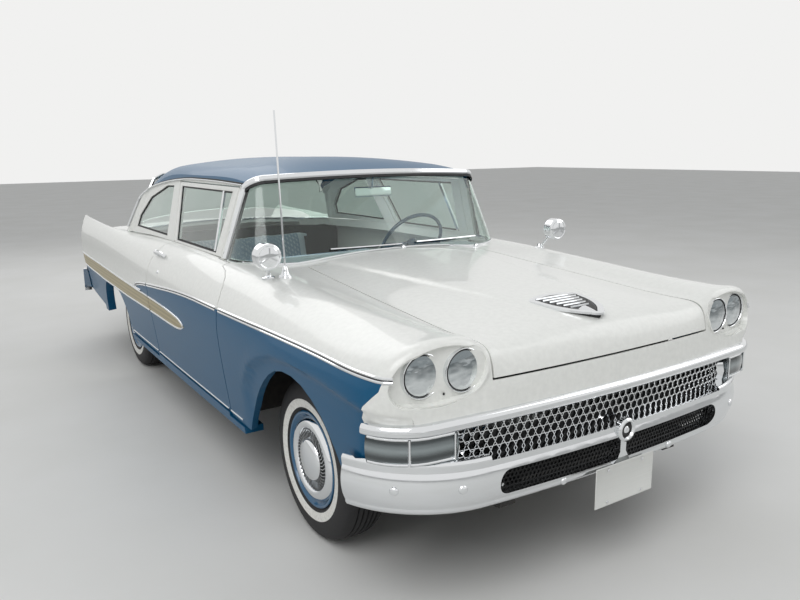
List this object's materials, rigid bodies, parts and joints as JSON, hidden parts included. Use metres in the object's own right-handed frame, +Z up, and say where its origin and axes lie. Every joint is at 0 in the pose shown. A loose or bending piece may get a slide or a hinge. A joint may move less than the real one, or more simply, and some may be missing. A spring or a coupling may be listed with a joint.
{
  "type": "1950s two-door sedan",
  "caption": "Full-width two-door sedan with twin headlamps, wraparound windscreen and low tail fins, on steel wheels with whitewall tyres.",
  "frame": {"origin": "on the ground under the centre of the car's bounding box", "axes": "+Z up, +Y towards the tail, so the nose points along -Y; +X is the car's left-hand side"},
  "size_m": [1.9772, 5.1298, 1.715],
  "materials": {
    "upper_paint": "gloss",
    "lower_paint": "gloss metallic",
    "roof_paint": "gloss metallic",
    "chrome": "polished",
    "glass": "clear",
    "tyre": "whitewall",
    "wheel_paint": "gloss",
    "chassis_paint": "satin",
    "engine_paint": "satin",
    "seat_cloth": "woven with vinyl",
    "dash_paint": "satin",
    "wheel_rim": "gloss",
    "lamp_glass": "ribbed",
    "red_lens": "ribbed",
    "steel": "oily"
  },
  "bodies": {
    "chassis": {"front_fender_l": "lower_paint", "front_fender_r": "lower_paint", "quarter_panel_l": "lower_paint", "quarter_panel_r": "lower_paint", "tail_panel": "lower_paint", "nose_panel": "upper_paint", "cowl": "upper_paint", "rear_deck": "upper_paint", "headlamp_bezels": "upper_paint", "roof": "roof_paint", "windscreen": "glass", "rear_glass": "glass", "quarter_glass": "glass", "control_arms": "steel", "rear_axle": "steel", "leaf_springs": "steel", "exhaust": "steel", "sills": "lower_paint", "inner_fenders": "chassis_paint", "frame": "chassis_paint", "radiator": "chassis_paint", "fuel_tank": "chassis_paint", "floor_pan": "chassis_paint", "steering_column": "chassis_paint", "engine": "engine_paint", "front_seat": "seat_cloth", "rear_seat": "seat_cloth", "dashboard": "dash_paint", "front_bumper": "chrome", "rear_bumper": "chrome", "grille_bars": "chrome", "fender_mirrors": "chrome", "aerial": "chrome", "grille_mesh": "steel", "parking_lamps": "lamp_glass", "headlamps": "lamp_glass", "tail_lamps": "red_lens"},
    "door_l_body": {"door_l": "lower_paint", "door_glass_l": "glass"},
    "door_r_body": {"door_r": "lower_paint", "door_glass_r": "glass"},
    "hood_body": {"hood": "upper_paint", "hood_scoop": "chrome"},
    "boot_lid_body": {"boot_lid": "upper_paint"},
    "knuckle_l_body": {"knuckle_l": "steel"},
    "knuckle_r_body": {"knuckle_r": "steel"},
    "wheel_fl_body": {"tyre_fl": "tyre", "wheel_fl": "wheel_paint"},
    "wheel_fr_body": {"tyre_fr": "tyre", "wheel_fr": "wheel_paint"},
    "wheel_rl_body": {"tyre_rl": "tyre", "wheel_rl": "wheel_paint"},
    "wheel_rr_body": {"tyre_rr": "tyre", "wheel_rr": "wheel_paint"},
    "steering_wheel_body": {"steering_wheel": "wheel_rim"}
  },
  "joints": [
    {"name": "door_l_hinge", "type": "hinge", "parent": "chassis", "child": "door_l_body", "pos_m": [0.981, -1.06, 0.7], "axis": [0, 0, -1], "range_deg": [0, 68]},
    {"name": "door_r_hinge", "type": "hinge", "parent": "chassis", "child": "door_r_body", "pos_m": [-0.981, -1.06, 0.7], "axis": [0, 0, 1], "range_deg": [0, 68]},
    {"name": "hood_hinge", "type": "hinge", "parent": "chassis", "child": "hood_body", "pos_m": [0, -1.085, 1.05], "axis": [-1, 0, 0], "range_deg": [0, 55]},
    {"name": "boot_lid_hinge", "type": "hinge", "parent": "chassis", "child": "boot_lid_body", "pos_m": [0, 1.64, 1.006], "axis": [1, 0, 0], "range_deg": [0, 65]},
    {"name": "steer_l", "type": "hinge", "parent": "chassis", "child": "knuckle_l_body", "pos_m": [0.672, -1.689, 0.334], "axis": [0, 0, 1], "range_deg": [-30, 30]},
    {"name": "steer_r", "type": "hinge", "parent": "chassis", "child": "knuckle_r_body", "pos_m": [-0.672, -1.689, 0.334], "axis": [0, 0, 1], "range_deg": [-30, 30]},
    {"name": "wheel_fl_spin", "type": "hinge", "parent": "knuckle_l_body", "child": "wheel_fl_body", "pos_m": [0.75, -1.689, 0.334], "axis": [1, 0, 0], "continuous": true},
    {"name": "wheel_fr_spin", "type": "hinge", "parent": "knuckle_r_body", "child": "wheel_fr_body", "pos_m": [-0.75, -1.689, 0.334], "axis": [1, 0, 0], "continuous": true},
    {"name": "wheel_rl_spin", "type": "hinge", "parent": "chassis", "child": "wheel_rl_body", "pos_m": [0.73, 1.257, 0.334], "axis": [1, 0, 0], "continuous": true},
    {"name": "wheel_rr_spin", "type": "hinge", "parent": "chassis", "child": "wheel_rr_body", "pos_m": [-0.73, 1.257, 0.334], "axis": [1, 0, 0], "continuous": true},
    {"name": "steering_wheel_turn", "type": "hinge", "parent": "chassis", "child": "steering_wheel_body", "pos_m": [0.39, -0.6, 1], "axis": [0, 0.866, 0.5], "range_deg": [-421, 421]}
  ],
  "couplings": [
    {"joint": "steer_r", "follows": "steer_l", "ratio": 1},
    {"joint": "steering_wheel_turn", "follows": "steer_l", "ratio": 14}
  ]
}
